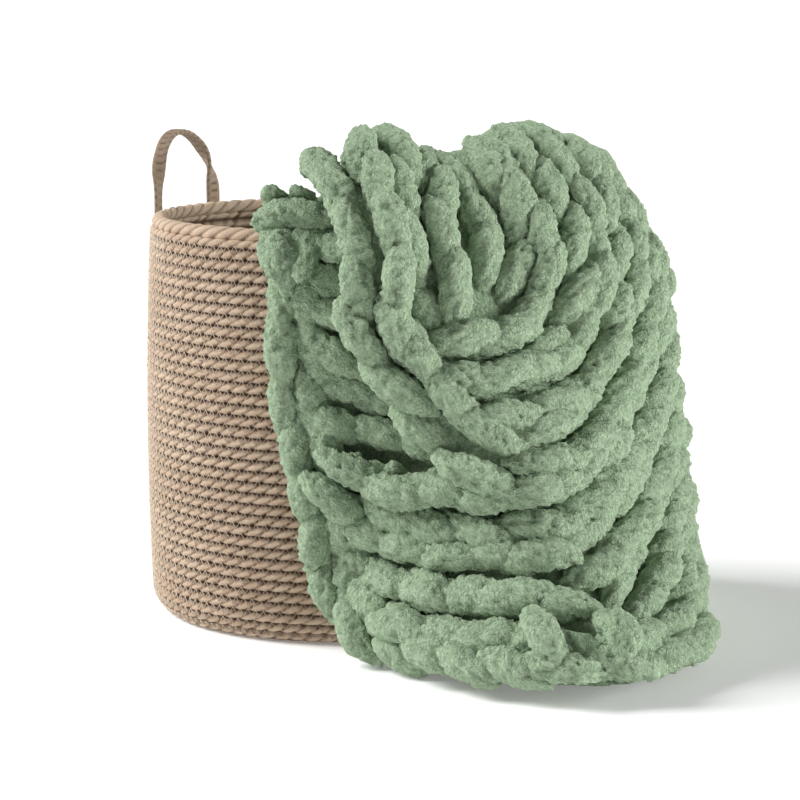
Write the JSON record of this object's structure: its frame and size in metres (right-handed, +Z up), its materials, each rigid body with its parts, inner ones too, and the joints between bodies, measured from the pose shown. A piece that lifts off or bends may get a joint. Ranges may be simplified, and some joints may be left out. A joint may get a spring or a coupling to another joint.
{
  "type": "chunky knit blanket draped over a basket",
  "caption": "Plush chunky knit blanket falling in a pleat over the rim of a round rope basket with strap handles.",
  "frame": {"origin": "centre of the basket's flat base, on the surface it stands on", "axes": "+Z up, +Y to the back; the blanket falls over the front right of the rim, towards -Y and +X"},
  "size_m": [0.5703, 0.641, 0.5067],
  "materials": {
    "plush_yarn": "matt short-pile chenille yarn, sage green",
    "jute_rope": "coiled twisted plant-fibre rope, pale brown",
    "jute_strap": "woven plant-fibre strap, brown"
  },
  "bodies": {
    "root": {"blanket": "plush_yarn", "basket": "jute_rope", "handle_left": "jute_strap", "handle_right": "jute_strap"}
  },
  "joints": []
}
